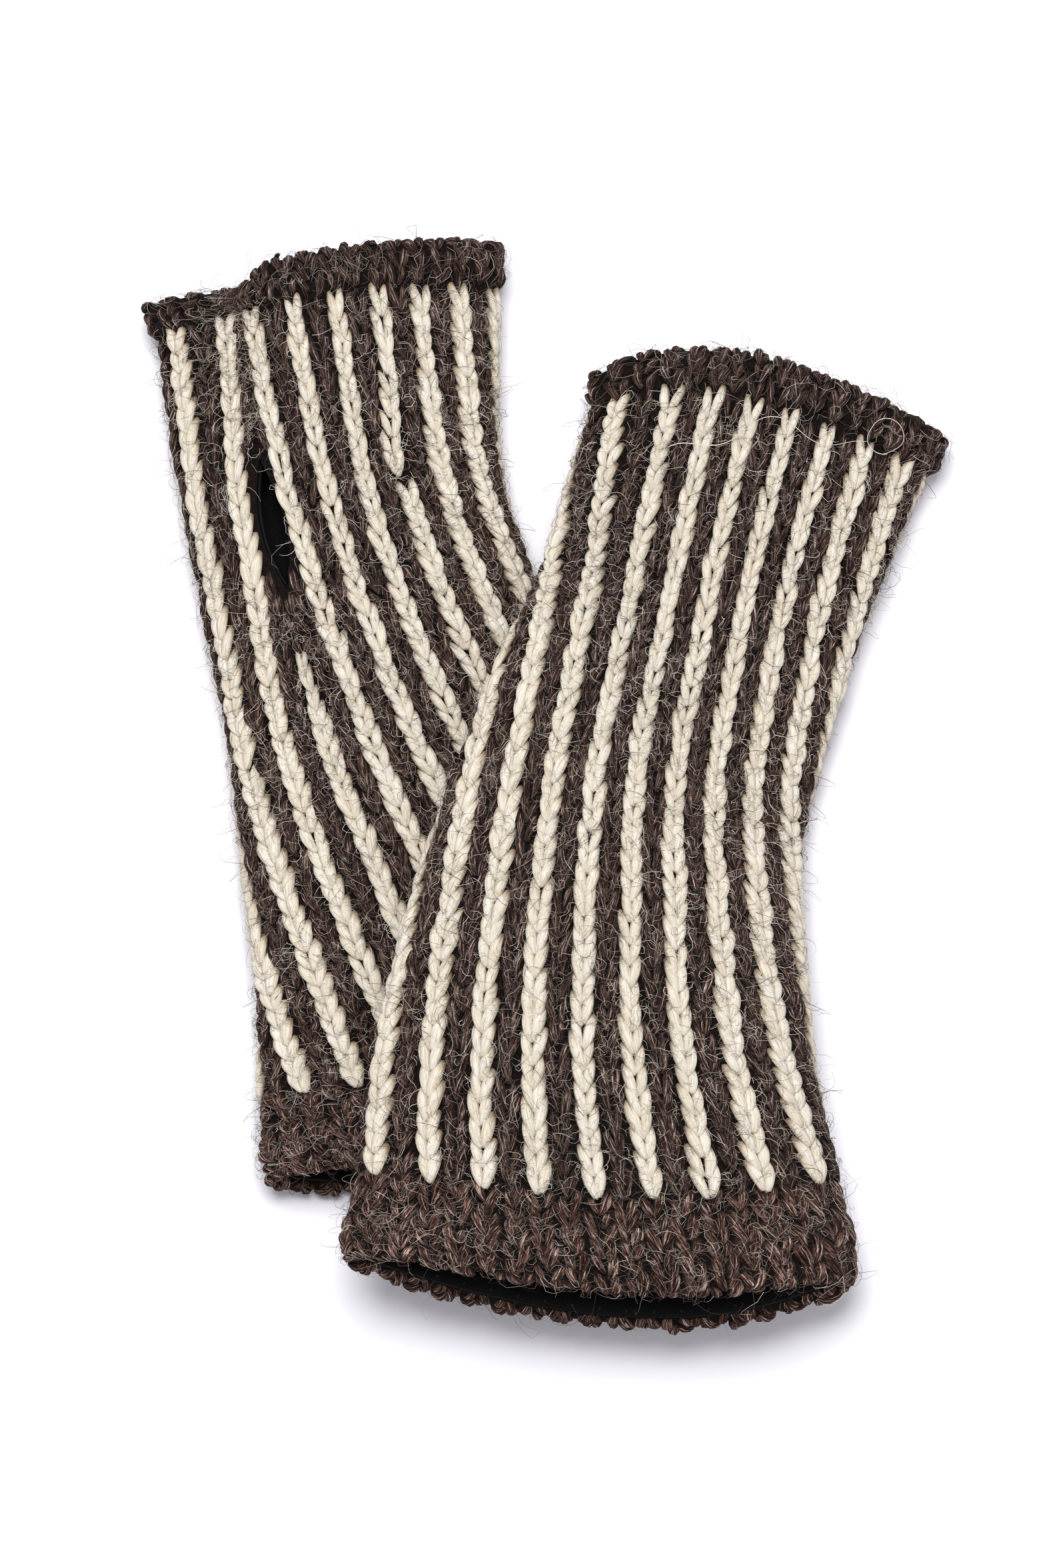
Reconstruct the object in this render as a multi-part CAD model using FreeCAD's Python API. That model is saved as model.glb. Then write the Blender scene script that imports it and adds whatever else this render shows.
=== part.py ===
import FreeCAD, Part
import bisect
import math
import os

# A pair of fleece-lined, hand-knitted fingerless gloves, laid flat, the right glove across the left one.
# Millimetres. +X to the right, +Y towards the finger ends, +Z up, floor at Z = 0.
# Each glove is a flattened tube. A place on it is (around, along, out): the share of the way round,
# counted from the left edge over the top, the distance from the finger rim, and the distance outside
# the knitted wall's outer face.

# Size of one glove
LENGTH = 237.0
HALF_WIDTHS = [(0, 45), (22, 43), (60, 41), (95, 42.5), (125, 46), (180, 55), (217, 61.5), (237, 63)]
HALF_HEIGHTS = [(0, 7.8), (190, 7.8), (237, 8.1)]
SECTION_POWER = 2.5
WOOL_THICKNESS = 2.8
LINING_THICKNESS = 1.5
LAYER_GAP = 0.1
CURVE_GAP = 0.3  # wider, where parts bend tightly round the sides
FLOOR_CLEARANCE = 1.3

# Bands and lining along the glove
FINGER_BAND_END = 11.5
WRIST_BAND_START = 222.0
BAND_BULGE = 2.0
BAND_EDGE_BULGE = 0.6
LINING_START = 3.5
LINING_END = LENGTH - 2.5
MOUTH_SLANT_START = 200.0
MOUTH_SLANT = 3.5

# Stripes: single columns of cream stitches, one cream and one brown column in turn
STRIPES = 18
WALES = 2 * STRIPES
STRIPE_START = 13.0
STRIPE_END = 211.0
RIB_HALF_WIDTH = 0.46
RIB_OUT = [0.6, 0.95, 1.2, 1.2, 0.95, 0.6]

# Thumb slit, in the gap where one stripe is missing above it
SLIT_START = 48.0
SLIT_END = 81.0
SLIT_HALF_WIDTH = 4.4
SLIT_STRIPE_START = 95.0
PULLS = [(0, 2.5), (30, 1.95), (54, 1.2), (75, 0.85), (95, 0.35), (115, 0.0), (237, 0.0)]
PULL_REACH_OUTER = 8.0
PULL_REACH_INNER = 6.0
PULL_INNER_SHARE = 0.2

# Sewing thread and seam
THREAD_RADIUS = 0.3
SEAM_WIDTH = 3.0
SEAM_HEIGHT = 0.8

# How the right glove lies over the left one
DRAPE_HEIGHT = 20.3
DRAPE_SIDE = (-16.0, 36.0)
DRAPE_END = (20.0, 200.0)

# Surface resolution
POLES_ROUND = 72
POLE_SPACING = 8.0

LEFT = {
    "name": "left",
    "centre_x": [(0, -57.1), (60, -51.6), (120, -36.6), (180, -20.6), (237, -8.1)],
    "centre_y": [(0, 132.7), (60, 75.2), (120, 18.7), (180, -36.3), (237, -85.3)],
    "turn": [(0, -0.5), (60, 0.4), (120, 1.15), (165, 2.35), (237, 4.7)],
    "finger_bow": 4.0,
    "finger_skew": 1.25,
    "finger_drop": 4.0,
    "wrist_bow": 11.0,
    "wrist_skew": 0.0,
    "slit_wale": 4,
    "slit_side": 1,
    "broken_stripe": 6,
    "draped": False,
}
RIGHT = {
    "name": "right",
    "centre_x": [(0, 58.9), (60, 39.9), (120, 20.9), (180, 12.9), (237, 13.4)],
    "centre_y": [(0, 105.7), (60, 48.7), (120, -8.3), (180, -67.3), (237, -124.3)],
    "turn": [(0, -3.9), (50, -3.0), (90, -1.75), (140, -0.25), (237, 1.3)],
    "finger_bow": 3.0,
    "finger_skew": 0.0,
    "finger_drop": 19.0,
    "wrist_bow": 10.0,
    "wrist_skew": 3.0,
    "slit_wale": 34,
    "slit_side": -1,
    "broken_stripe": None,
    "draped": True,
}
STRIPE_BREAK = (58.5, 61.0)
FINGER_REACH = 90.0
WRIST_REACH = 97.0


def smooth_step(x):
    x = min(max(x, 0.0), 1.0)
    return x * x * (3 - 2 * x)


def slope_at(stations, k):
    before = stations[max(k - 1, 0)]
    after = stations[min(k + 1, len(stations) - 1)]
    return (after[1] - before[1]) / (after[0] - before[0])


def profile(stations, t):
    """A smooth curve through (t, value) stations, straight beyond its ends."""
    last = len(stations) - 1
    if t <= stations[0][0]:
        return stations[0][1] + slope_at(stations, 0) * (t - stations[0][0])
    if t >= stations[last][0]:
        return stations[last][1] + slope_at(stations, last) * (t - stations[last][0])
    k = bisect.bisect_right([s[0] for s in stations], t) - 1
    span = stations[k + 1][0] - stations[k][0]
    q = (t - stations[k][0]) / span
    start = (2 * q**3 - 3 * q**2 + 1) * stations[k][1] + (q**3 - 2 * q**2 + q) * span * slope_at(stations, k)
    end = (3 * q**2 - 2 * q**3) * stations[k + 1][1] + (q**3 - q**2) * span * slope_at(stations, k + 1)
    return start + end


def section_point(angle):
    """Unit superellipse, from the left edge (angle 0) over the top."""
    c = -math.cos(angle)
    s = math.sin(angle)
    power = 2 / SECTION_POWER
    return math.copysign(abs(c) ** power, c), math.copysign(abs(s) ** power, s)


def arc_table(ratio, steps=720):
    """Share of the section's length reached at each step of the angle."""
    points = [section_point(2 * math.pi * i / steps) for i in range(steps + 1)]
    lengths = [0.0]
    for p, q in zip(points, points[1:]):
        lengths.append(lengths[-1] + math.hypot(q[0] - p[0], (q[1] - p[1]) * ratio))
    return [length / lengths[-1] for length in lengths]


ARC_TABLES = {}


def section(around, ratio):
    key = round(ratio, 3)
    if key not in ARC_TABLES:
        ARC_TABLES[key] = arc_table(key)
    table = ARC_TABLES[key]
    around %= 1.0
    i = min(bisect.bisect_right(table, around) - 1, len(table) - 2)
    step = i + (around - table[i]) / (table[i + 1] - table[i])
    return section_point(2 * math.pi * step / (len(table) - 1))


def axis_at(glove, t):
    """Centre point and unit direction towards the wrist, in plan."""
    x = profile(glove["centre_x"], t)
    y = profile(glove["centre_y"], t)
    dx = profile(glove["centre_x"], t + 1) - profile(glove["centre_x"], t - 1)
    dy = profile(glove["centre_y"], t + 1) - profile(glove["centre_y"], t - 1)
    length = math.hypot(dx, dy)
    return x, y, dx / length, dy / length


def row_shift(glove, side, height, t):
    """How far a row of stitches bows towards the nearer rim."""
    finger = max(0.0, 1 - t / FINGER_REACH) ** 1.5
    wrist = max(0.0, (t - LENGTH + WRIST_REACH) / WRIST_REACH)
    mouth = max(0.0, (t - MOUTH_SLANT_START) / (LENGTH - MOUTH_SLANT_START))
    bulge = 1 - side * side
    shift = wrist * (glove["wrist_bow"] * bulge * (1 + 0.35 * side) + glove["wrist_skew"] * side)
    shift -= finger * (glove["finger_bow"] * bulge + glove["finger_skew"] * side)
    shift += finger * glove["finger_drop"] * ((1 - side) / 2) ** 4
    return shift - MOUTH_SLANT * mouth * height


LEFT_AXIS = [(t,) + axis_at(LEFT, t) for t in range(0, int(LENGTH) + 60, 3)]


def drape(x, y):
    """Height of the surface that the right glove lies on: the floor, rising over the left glove."""
    t, cx, cy, dx, dy = min(LEFT_AXIS, key=lambda a: (a[1] - x) ** 2 + (a[2] - y) ** 2)
    t += (x - cx) * dx + (y - cy) * dy
    beside = abs((y - cy) * dx - (x - cx) * dy) - profile(HALF_WIDTHS, min(t, LENGTH))
    beyond = t - LENGTH
    side_rise = smooth_step((DRAPE_SIDE[1] - beside) / (DRAPE_SIDE[1] - DRAPE_SIDE[0]))
    end_rise = smooth_step((DRAPE_END[1] - beyond) / (DRAPE_END[1] - DRAPE_END[0]))
    return DRAPE_HEIGHT * side_rise * end_rise


def place(glove, around, t, out=0.0):
    """The point at (around, along, out) on a glove."""
    side, height = section(around, profile(HALF_HEIGHTS, t) / profile(HALF_WIDTHS, t))
    t += row_shift(glove, side, height, t)
    half_width = profile(HALF_WIDTHS, t) + out
    half_height = profile(HALF_HEIGHTS, t)
    cx, cy, dx, dy = axis_at(glove, t)
    x = cx - dy * side * half_width
    y = cy + dx * side * half_width
    z = FLOOR_CLEARANCE + half_height + height * (half_height + out)
    if glove["draped"]:
        z += drape(x, y)
    return FreeCAD.Vector(x, y, z)


def wale_around(glove, wale, t):
    """Where a column of stitches lies round the glove, pulled towards the slit above it."""
    q = glove["slit_side"] * (wale - glove["slit_wale"])
    q = (q + WALES / 2) % WALES - WALES / 2
    if q < -2:
        share = max(0.0, 1 + (q + 2) / PULL_REACH_OUTER)
    elif q < 2:
        share = 1 - (1 + PULL_INNER_SHARE) * (q + 2) / 4
    else:
        share = -PULL_INNER_SHARE * max(0.0, 1 - (q - 2) / PULL_REACH_INNER)
    pull = glove["slit_side"] * share * profile(PULLS, t)
    return (wale + profile(glove["turn"], t) + pull) / WALES


def clamped_places(count):
    """Places, from 0 to 1, that the poles of an even clamped cubic stand for."""
    spans = count - 3
    knots = [0] * 4 + list(range(1, spans)) + [spans] * 4
    return [sum(knots[i + 1 : i + 4]) / 3 / spans for i in range(count)]


def even_knots(count, closed):
    """Multiplicities and knots of an even cubic: closed round the glove, or clamped at both ends."""
    if closed:
        return [1] * (count + 1), [float(k) for k in range(count + 1)]
    return [4] + [1] * (count - 4) + [4], [float(k) for k in range(count - 2)]


def through(points):
    """Poles of a closed cubic that passes close to these points."""
    last = len(points) - 1
    nexts = points[1:] + points[:1]
    return [p * (4 / 3) - (a + b) / 6 for a, p, b in zip([points[last]] + points[:last], points, nexts)]


def spline_face(poles, closed):
    """A cubic face; its poles run round (or across) first and along second."""
    mults_u, knots_u = even_knots(len(poles), closed)
    mults_v, knots_v = even_knots(len(poles[0]), False)
    built = Part.BSplineSurface()
    built.buildFromPolesMultsKnots(poles, mults_u, mults_v, knots_u, knots_v, closed, False, 3, 3)
    return built.toShape()


def ruled_face(row_a, row_b, closed):
    """The straight-ruled face between two rows of poles."""
    mults, knots = even_knots(len(row_a), closed)
    built = Part.BSplineSurface()
    built.buildFromPolesMultsKnots(
        [list(pair) for pair in zip(row_a, row_b)], mults, [2, 2], knots, [0.0, 1.0], closed, False, 3, 1
    )
    return built.toShape()


def stations_between(start, end, spacing=POLE_SPACING):
    count = max(6, round((end - start) / spacing) + 3)
    return [start + (end - start) * f for f in clamped_places(count)]


def solid_from(faces):
    shell = Part.makeShell(faces)
    shell.sewShape()
    solid = Part.makeSolid(shell)
    if solid.Volume < 0:
        solid.reverse()
    return solid


def tube(glove, start, end, outer, inner, spacing=POLE_SPACING):
    """A wall all round the glove; outer and inner give its faces' places from t."""
    along = stations_between(start, end, spacing)
    walls = []
    for out in (outer, inner):
        rows = [through([place(glove, i / POLES_ROUND, t, out(t)) for i in range(POLES_ROUND)]) for t in along]
        walls.append(rows)
    faces = [spline_face([list(column) for column in zip(*rows)], True) for rows in walls]
    faces += [ruled_face(walls[0][k], walls[1][k], True) for k in (0, -1)]
    return solid_from(faces)


def strip(columns, along, top, bottom):
    """A bar between two open surfaces, such as one stripe."""
    walls = [[[point(c, t) for t in along] for c in columns] for point in (top, bottom)]
    faces = [spline_face(poles, False) for poles in walls]
    for k in (0, -1):
        faces.append(ruled_face(walls[0][k], walls[1][k], False))
        faces.append(ruled_face([row[k] for row in walls[0]], [row[k] for row in walls[1]], False))
    return solid_from(faces)


def slit_end(glove, t):
    return place(glove, wale_around(glove, glove["slit_wale"], t), t)


def slit_cutter(glove):
    """A lens-shaped prism through the wall that holds the thumb slit."""
    start = slit_end(glove, SLIT_START)
    end = slit_end(glove, SLIT_END)
    middle = (start + end) / 2
    run = end - start
    run.z = 0
    across = FreeCAD.Vector(-run.y, run.x, 0).normalize() * SLIT_HALF_WIDTH
    low = min(start.z, end.z) - 10 if glove["slit_side"] < 0 else middle.z - profile(HALF_HEIGHTS, SLIT_START)
    high = middle.z + profile(HALF_HEIGHTS, SLIT_START) if glove["slit_side"] < 0 else middle.z + 10
    for point in (start, end, middle):
        point.z = low
    sides = [Part.Arc(start, middle + across, end).toShape(), Part.Arc(end, middle - across, start).toShape()]
    return Part.Face(Part.Wire(sides)).extrude(FreeCAD.Vector(0, 0, high - low))


def knit_body(glove):
    wall = tube(glove, FINGER_BAND_END, WRIST_BAND_START, lambda t: 0.0, lambda t: -WOOL_THICKNESS)
    return wall.cut(slit_cutter(glove))


def fleece_lining(glove):
    outside = -WOOL_THICKNESS - LAYER_GAP
    wall = tube(glove, LINING_START, LINING_END, lambda t: outside, lambda t: outside - LINING_THICKNESS)
    return wall.cut(slit_cutter(glove))


def band(glove, start, end):
    """A rolled edging, flattened where it rests on the floor."""
    def bulge(t):
        roll = math.sin(math.pi * min(max((t - start) / (end - start), 0), 1))
        return BAND_EDGE_BULGE + (BAND_BULGE - BAND_EDGE_BULGE) * roll

    ring = tube(glove, start, end, bulge, lambda t: -WOOL_THICKNESS, spacing=2.5)
    box = ring.BoundBox
    floor = Part.makeBox(box.XLength + 20, box.YLength + 20, 20, FreeCAD.Vector(box.XMin - 10, box.YMin - 10, -20))
    return ring.cut(floor)


def lining_seam(glove):
    """The fleece's seam allowance, inside the edge away from the thumb."""
    around = 0.5 * SEAM_WIDTH / (4 * profile(HALF_WIDTHS, LENGTH / 2))
    columns = [0.5 - around + 2 * around * f for f in clamped_places(6)]
    along = stations_between(LINING_START + 1, LINING_END - 1)
    outside = -WOOL_THICKNESS - LINING_THICKNESS - LAYER_GAP - CURVE_GAP
    return strip(
        columns,
        along,
        lambda c, t: place(glove, c, t, outside),
        lambda c, t: place(glove, c, t, outside - SEAM_HEIGHT),
    )


def stitch(start, end):
    run = end - start
    return Part.makeCylinder(THREAD_RADIUS, run.Length, start, run)


def hem_thread(glove, lining_t, knit_t):
    """Whip stitches that hold the lining's end to the knitted wall."""
    inside = -WOOL_THICKNESS - LAYER_GAP
    stitches = []
    for i in range(WALES):
        around = i / WALES
        start = place(glove, around, lining_t, inside - LINING_THICKNESS)
        end = place(glove, around + 0.003, knit_t, inside)
        stitches.append(stitch(start, end))
    return Part.makeCompound(stitches)


def thumb_thread(glove):
    """Stitches round the slit, on the inner face of the lining."""
    depth = -WOOL_THICKNESS - LINING_THICKNESS - LAYER_GAP
    stitches = []
    for i in range(1, 10):
        t = SLIT_START + (SLIT_END - SLIT_START) * i / 10
        around = wale_around(glove, glove["slit_wale"], t)
        per_mm = 1 / (2 * math.pi * profile(HALF_WIDTHS, t) * 0.7)
        gap = SLIT_HALF_WIDTH * math.sin(math.pi * i / 10) + 0.7
        for way in (-1, 1):
            near = place(glove, around + way * gap * per_mm, t, depth)
            far = place(glove, around + way * (gap + 2) * per_mm, t, depth)
            stitches.append(stitch(near, far))
    return Part.makeCompound(stitches)


def stripe_spans(glove, index):
    """Where a stripe starts and ends; one is broken by a few brown stitches."""
    if 2 * index == glove["slit_wale"]:
        return [(SLIT_STRIPE_START, STRIPE_END)]
    if index == glove["broken_stripe"]:
        return [(STRIPE_START, STRIPE_BREAK[0]), (STRIPE_BREAK[1], STRIPE_END)]
    return [(STRIPE_START, STRIPE_END)]


def cream_stripe(glove, index):
    """One column of cream stitches, standing proud of the wall."""
    offsets = [RIB_HALF_WIDTH * (2 * f - 1) for f in clamped_places(len(RIB_OUT))]
    columns = list(zip(offsets, RIB_OUT))
    pieces = []
    for start, end in stripe_spans(glove, index):
        pieces.append(
            strip(
                columns,
                stations_between(start, end),
                lambda c, t: place(glove, wale_around(glove, 2 * index + c[0], t), t, c[1]),
                lambda c, t: place(glove, wale_around(glove, 2 * index + c[0], t), t, CURVE_GAP),
            )
        )
    return pieces[0] if len(pieces) == 1 else Part.makeCompound(pieces)


def glove_parts(glove):
    parts = {
        "knit_body": knit_body(glove),
        "finger_band": band(glove, 0.0, FINGER_BAND_END - LAYER_GAP),
        "wrist_band": band(glove, WRIST_BAND_START + LAYER_GAP, LENGTH),
        "fleece_lining": fleece_lining(glove),
        "lining_seam": lining_seam(glove),
        "finger_hem_thread": hem_thread(glove, LINING_START + 1.5, LINING_START - 1.5),
        "wrist_hem_thread": hem_thread(glove, LINING_END - 1.5, LINING_END + 1.2),
        "thumb_hem_thread": thumb_thread(glove),
    }
    for index in range(STRIPES):
        parts[f"cream_stripe_{index + 1:02d}"] = cream_stripe(glove, index)
    return {f"{glove['name']}_{name}": shape for name, shape in parts.items()}


def report_box(parts):
    """Prints the pair's box, which is centred on the origin and stands on the floor."""
    points = [v for shape in parts.values() for v in shape.tessellate(0.1)[0]]
    for axis in range(3):
        low = min(p[axis] for p in points)
        high = max(p[axis] for p in points)
        print("XYZ"[axis], round(low, 2), round(high, 2))


def main():
    os.makedirs("parts", exist_ok=True)
    parts = {**glove_parts(LEFT), **glove_parts(RIGHT)}
    report_box(parts)
    for name, shape in parts.items():
        print(name, shape.isValid(), len(shape.Solids), round(shape.Volume, 1))
        shape.exportStep(f"parts/{name}.step")


main()
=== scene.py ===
import math

import bpy
import numpy as np
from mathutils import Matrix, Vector


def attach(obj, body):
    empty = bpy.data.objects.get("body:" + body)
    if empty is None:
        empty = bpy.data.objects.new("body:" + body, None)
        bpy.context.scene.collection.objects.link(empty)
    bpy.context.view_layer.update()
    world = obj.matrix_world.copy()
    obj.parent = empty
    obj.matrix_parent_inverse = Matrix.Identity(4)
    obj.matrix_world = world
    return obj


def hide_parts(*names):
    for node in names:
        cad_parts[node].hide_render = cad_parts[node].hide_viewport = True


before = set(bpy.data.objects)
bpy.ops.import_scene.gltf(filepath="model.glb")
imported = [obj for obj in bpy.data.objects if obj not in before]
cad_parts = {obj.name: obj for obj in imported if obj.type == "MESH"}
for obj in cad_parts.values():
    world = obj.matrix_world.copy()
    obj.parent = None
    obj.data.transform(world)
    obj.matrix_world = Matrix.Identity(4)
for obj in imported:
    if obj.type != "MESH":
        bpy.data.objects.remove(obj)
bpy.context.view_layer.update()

# A pair of hand-knitted fingerless gloves. Lengths are in millimetres until mesh() writes metres. Only the
# floor, the lights, the camera and the bump distances are in metres from the start.
# A place on a glove is (around, along, out): the share of the way round, counted from the left edge
# over the top, the distance from the finger rim, and the distance outside the knitted wall's face.
# A wale is a column of stitches. Even wales are the cream stripes, and odd ones are brown.
MM = 0.001
rng = np.random.default_rng(20)

# Size of one glove. These repeat the CAD part's values
LENGTH = 237.0
HALF_WIDTHS = [(0, 45), (22, 43), (60, 41), (95, 42.5), (125, 46), (180, 55), (217, 61.5), (237, 63)]
HALF_HEIGHTS = [(0, 7.8), (190, 7.8), (237, 8.1)]
SECTION_POWER = 2.5
WOOL = 2.8
LINING = 1.5
LAYER_GAP = 0.1
FLOOR_CLEARANCE = 1.3
MOUTH_SLANT_START = 200.0
MOUTH_SLANT = 3.5
LINING_START = 3.5
LINING_END = LENGTH - 2.5
FINGER_REACH = 90.0
FINGER_BOW_POWER = 1.5
FINGER_DROP_POWER = 4
WRIST_REACH = 97.0
WRIST_BOW_TILT = 0.35

# The finger rims stand a little further out than the CAD part's. Each glove's rim_lift gives how far, at
# its left and right edges
LIFT_REACH = 60.0
# The left rim has a step that the CAD part hasn't: it starts at this side, has this width, and fades out
# towards the corner. Side goes from -1 at the left edge to 1 at the right one
DIP_START = -0.28
DIP_WIDTH = 0.22
DIP_CORNER = 0.5
DIP_REACH = 13.0

# Stripes. They start, and the wrist band starts, up to 1 mm from where the CAD part has it
STRIPES = 18
WALES = 2 * STRIPES
STRIPE_START = 12.5
STRIPE_END = 211.0
FINGER_BAND_END = 11.5
WRIST_BAND_START = 221.0

# Thumb slit. It is drawn 0.9 mm wider on each side than in the CAD part, and the stripe below it starts
# 3 mm further along
SLIT_START = 48.0
SLIT_END = 81.0
SLIT_HALF_WIDTH = 5.3
SLIT_STRIPE_START = 98.0
# The stripes beside the slit lie this many wales from its middle
BESIDE_SLIT = 2
# How far the wales are pulled towards the gap above the slit, in wales, and how many wales that reaches
PULLS = [(0, 2.5), (30, 1.95), (54, 1.2), (75, 0.85), (95, 0.35), (115, 0.0), (237, 0.0)]
PULL_REACH_OUTER = 8.0
PULL_REACH_INNER = 6.0
PULL_INNER_SHARE = 0.2

# How the right glove lies over the left one, and the plan grid that its heights are worked out on
DRAPE_HEIGHT = 20.3
DRAPE_SIDE = (-16.0, 36.0)
DRAPE_END = (20.0, 200.0)
DRAPE_GRID_STEP = 1.5
DRAPE_GRID_X = (-120, 130)
DRAPE_GRID_Y = (-160, 150)
# The left glove's centre line is followed this far past its wrist rim
PAST_WRIST = 60

LEFT = {
    "name": "left",
    "body": "left_glove",
    "centre_x": [(0, -57.1), (60, -51.6), (120, -36.6), (180, -20.6), (237, -8.1)],
    "centre_y": [(0, 132.7), (60, 75.2), (120, 18.7), (180, -36.3), (237, -85.3)],
    "turn": [(0, -0.5), (60, 0.4), (120, 1.15), (165, 2.35), (237, 4.7)],
    "finger_bow": 4.0,
    "finger_skew": 1.25,
    "finger_drop": 4.0,
    "rim_lift": (2.0, 3.5),
    "rim_dip": 6.0,
    "wrist_bow": 11.0,
    "wrist_skew": 0.0,
    "slit_wale": 4,
    "slit_side": 1,
    "draped": False,
}
RIGHT = {
    "name": "right",
    "body": "right_glove",
    "centre_x": [(0, 58.9), (60, 39.9), (120, 20.9), (180, 12.9), (237, 13.4)],
    "centre_y": [(0, 105.7), (60, 48.7), (120, -8.3), (180, -67.3), (237, -124.3)],
    "turn": [(0, -3.9), (50, -3.0), (90, -1.75), (140, -0.25), (237, 1.3)],
    "finger_bow": 3.0,
    "finger_skew": 0.0,
    "finger_drop": 19.0,
    "rim_lift": (6.0, 0.0),
    "rim_dip": 0.0,
    "wrist_bow": 10.0,
    "wrist_skew": 3.0,
    "slit_wale": 34,
    "slit_side": -1,
    "draped": True,
}


# ---------------------------------------------------------------- the gloves' surface


def smooth_step(x):
    x = np.clip(x, 0.0, 1.0)
    return x * x * (3 - 2 * x)


def station_slopes(places, values):
    slopes = np.empty(len(places))
    slopes[1:-1] = (values[2:] - values[:-2]) / (places[2:] - places[:-2])
    slopes[0] = (values[1] - values[0]) / (places[1] - places[0])
    slopes[-1] = (values[-1] - values[-2]) / (places[-1] - places[-2])
    return slopes


def profile(stations, t):
    """A smooth curve through (t, value) stations, straight beyond its ends."""
    t = np.asarray(t, float)
    places, values = np.array(stations, float).T
    slopes = station_slopes(places, values)
    k = np.clip(np.searchsorted(places, t, side="right") - 1, 0, len(places) - 2)
    span = places[k + 1] - places[k]
    q = (np.clip(t, places[0], places[-1]) - places[k]) / span
    start = (2 * q**3 - 3 * q**2 + 1) * values[k] + (q**3 - 2 * q**2 + q) * span * slopes[k]
    end = (3 * q**2 - 2 * q**3) * values[k + 1] + (q**3 - q**2) * span * slopes[k + 1]
    before = np.minimum(t - places[0], 0) * slopes[0]
    after = np.maximum(t - places[-1], 0) * slopes[-1]
    return start + end + before + after


def signed_power(x, power):
    return np.sign(x) * np.abs(x) ** power


# The section's side and height by the share of the way round, for a range of height-to-width ratios
RATIOS = np.linspace(0.10, 0.24, 29)
SHARES = np.linspace(0.0, 1.0, 2049)
SECTION_STEPS = 5760
# Taken off a table's length, this keeps a place inside its last cell
LAST_CELL = 1.001


def section_tables():
    angle = np.linspace(0, 2 * math.pi, SECTION_STEPS + 1)
    side = signed_power(-np.cos(angle), 2 / SECTION_POWER)
    height = signed_power(np.sin(angle), 2 / SECTION_POWER)
    sides, heights, lengths = [], [], []
    for ratio in RATIOS:
        steps = np.hypot(np.diff(side), np.diff(height) * ratio)
        reached = np.concatenate([[0.0], np.cumsum(steps)])
        sides.append(np.interp(SHARES, reached / reached[-1], side))
        heights.append(np.interp(SHARES, reached / reached[-1], height))
        lengths.append(reached[-1])
    return np.array(sides), np.array(heights), np.array(lengths)


SIDES, HEIGHTS, ROUND_LENGTHS = section_tables()


def look_up(table, row, column):
    """A table's value at a place between its cells."""
    row = np.clip(row, 0, table.shape[0] - LAST_CELL)
    column = np.clip(column, 0, table.shape[1] - LAST_CELL)
    i, j = row.astype(int), column.astype(int)
    past_row, past_column = row - i, column - j
    low = table[i, j] * (1 - past_column) + table[i, j + 1] * past_column
    high = table[i + 1, j] * (1 - past_column) + table[i + 1, j + 1] * past_column
    return low * (1 - past_row) + high * past_row


def section(around, ratio):
    """Side and height of the unit section."""
    row = (ratio - RATIOS[0]) / (RATIOS[1] - RATIOS[0])
    column = (np.asarray(around) % 1.0) * (len(SHARES) - 1)
    return look_up(SIDES, row, column), look_up(HEIGHTS, row, column)


def girth(t):
    """Length round the glove at t."""
    half_width = profile(HALF_WIDTHS, t)
    ratio = profile(HALF_HEIGHTS, t) / half_width
    return half_width * np.interp(ratio, RATIOS, ROUND_LENGTHS)


def axis_at(glove, t):
    """Centre and unit direction towards the wrist, in plan."""
    x = profile(glove["centre_x"], t)
    y = profile(glove["centre_y"], t)
    dx = profile(glove["centre_x"], t + 1) - profile(glove["centre_x"], t - 1)
    dy = profile(glove["centre_y"], t + 1) - profile(glove["centre_y"], t - 1)
    length = np.hypot(dx, dy)
    return x, y, dx / length, dy / length


def rim_shift(glove, side, t):
    """The rows' shifts by the finger rims that the CAD part hasn't: the lift outwards and the left step."""
    lift = -np.interp(side, (-1, 1), glove["rim_lift"]) * np.maximum(0.0, 1 - t / LIFT_REACH)
    step = np.minimum(1, (side + 1) / DIP_CORNER) * smooth_step((DIP_START - side) / DIP_WIDTH)
    return lift, glove["rim_dip"] * step * np.clip(1 - t / DIP_REACH, 0.0, 1.0)


def row_shift(glove, side, height, t):
    """How far a row of stitches bows towards the nearer rim."""
    finger = np.maximum(0.0, 1 - t / FINGER_REACH) ** FINGER_BOW_POWER
    wrist = np.maximum(0.0, (t - LENGTH + WRIST_REACH) / WRIST_REACH)
    mouth = np.maximum(0.0, (t - MOUTH_SLANT_START) / (LENGTH - MOUTH_SLANT_START))
    bulge = 1 - side * side
    wrist_bow = glove["wrist_bow"] * bulge * (1 + WRIST_BOW_TILT * side)
    shift = wrist * (wrist_bow + glove["wrist_skew"] * side)
    shift = shift - finger * (glove["finger_bow"] * bulge + glove["finger_skew"] * side)
    shift = shift + finger * glove["finger_drop"] * ((1 - side) / 2) ** FINGER_DROP_POWER
    lift, dip = rim_shift(glove, side, t)
    return shift + lift + dip - MOUTH_SLANT * mouth * height


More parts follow.
